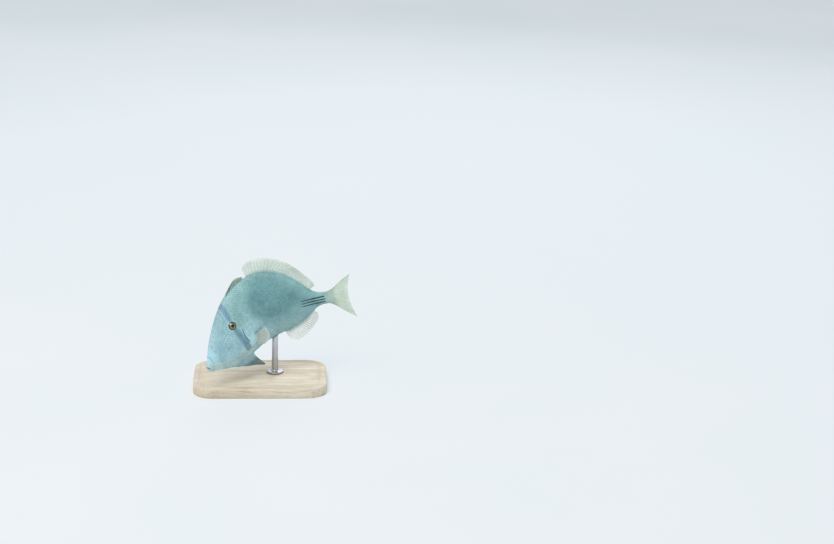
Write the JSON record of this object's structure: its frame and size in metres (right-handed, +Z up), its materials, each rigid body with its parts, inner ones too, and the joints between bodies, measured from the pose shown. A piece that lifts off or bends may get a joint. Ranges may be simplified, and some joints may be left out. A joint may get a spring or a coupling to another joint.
{
  "type": "picasso triggerfish model on a display stand",
  "caption": "Life-size still reef triggerfish, head down with its tail swung round, on a rod over a flat rounded base.",
  "frame": {"origin": "middle of the base's flat underside, on the surface that the stand rests on", "axes": "+Z up; the fish's left side faces -Y, and its snout points to -X and -Y, head down"},
  "size_m": [0.1987, 0.1045, 0.1591],
  "materials": {
    "skin": "satin, scaled",
    "fin_spiny": "satin",
    "fin_web": "satin, ribbed",
    "eye": "gloss",
    "tooth": "gloss",
    "base_wood": "bleached, matt",
    "rod_steel": "satin"
  },
  "bodies": {
    "root": {"head": "skin", "trunk": "skin", "tail_stem": "skin", "pelvic_flap": "skin", "spiny_dorsal_fin": "fin_spiny", "soft_dorsal_fin": "fin_web", "anal_fin": "fin_web", "caudal_fin": "fin_web", "pectoral_fin_right": "fin_web", "pectoral_fin_left": "fin_web", "eye_right": "eye", "eye_left": "eye", "teeth_upper": "tooth", "teeth_lower": "tooth", "stand_base": "base_wood", "stand_rod": "rod_steel"}
  },
  "joints": []
}
